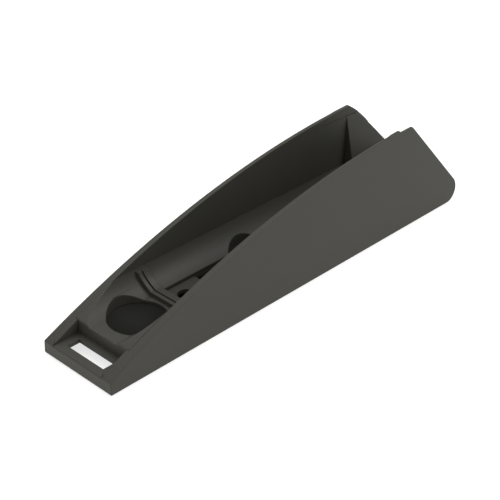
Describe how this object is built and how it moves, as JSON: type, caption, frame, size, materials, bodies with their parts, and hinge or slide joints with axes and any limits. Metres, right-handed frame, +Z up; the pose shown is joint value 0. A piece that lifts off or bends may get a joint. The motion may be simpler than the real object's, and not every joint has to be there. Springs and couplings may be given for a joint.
{
  "type": "door wedge",
  "caption": "Hollow moulded door wedge with a curved rim, an open channel with round sockets, a strap slot in the nose and rubber pads underneath.",
  "frame": {"origin": "on the surface the rubber pads stand on, under the middle of the overall length and width", "axes": "+X from the thin nose to the thick rear end, +Y to the left when looking from the nose to the rear, +Z up"},
  "size_m": [0.1544, 0.0296, 0.0359],
  "materials": {
    "shell_plastic": "fine matte moulded texture, warm dark grey",
    "insert_plastic": "satin moulded plastic, warm dark grey",
    "plate_plastic": "matte moulded plastic, darker grey",
    "pad_rubber": "ribbed matte rubber, near black",
    "screw_steel": "zinc-plated steel"
  },
  "bodies": {
    "root": {"wedge_shell": "shell_plastic", "inner_tray": "insert_plastic", "front_socket_cup": "insert_plastic", "rear_socket_sleeve": "insert_plastic", "saddle_rib": "insert_plastic", "rear_end_frame": "insert_plastic", "base_plate": "plate_plastic", "sole_pad_front": "pad_rubber", "sole_pad_middle": "pad_rubber", "sole_pad_rear": "pad_rubber", "tray_screw_front": "screw_steel", "tray_screw_rear": "screw_steel", "frame_screw_right": "screw_steel", "frame_screw_left": "screw_steel"}
  },
  "joints": []
}
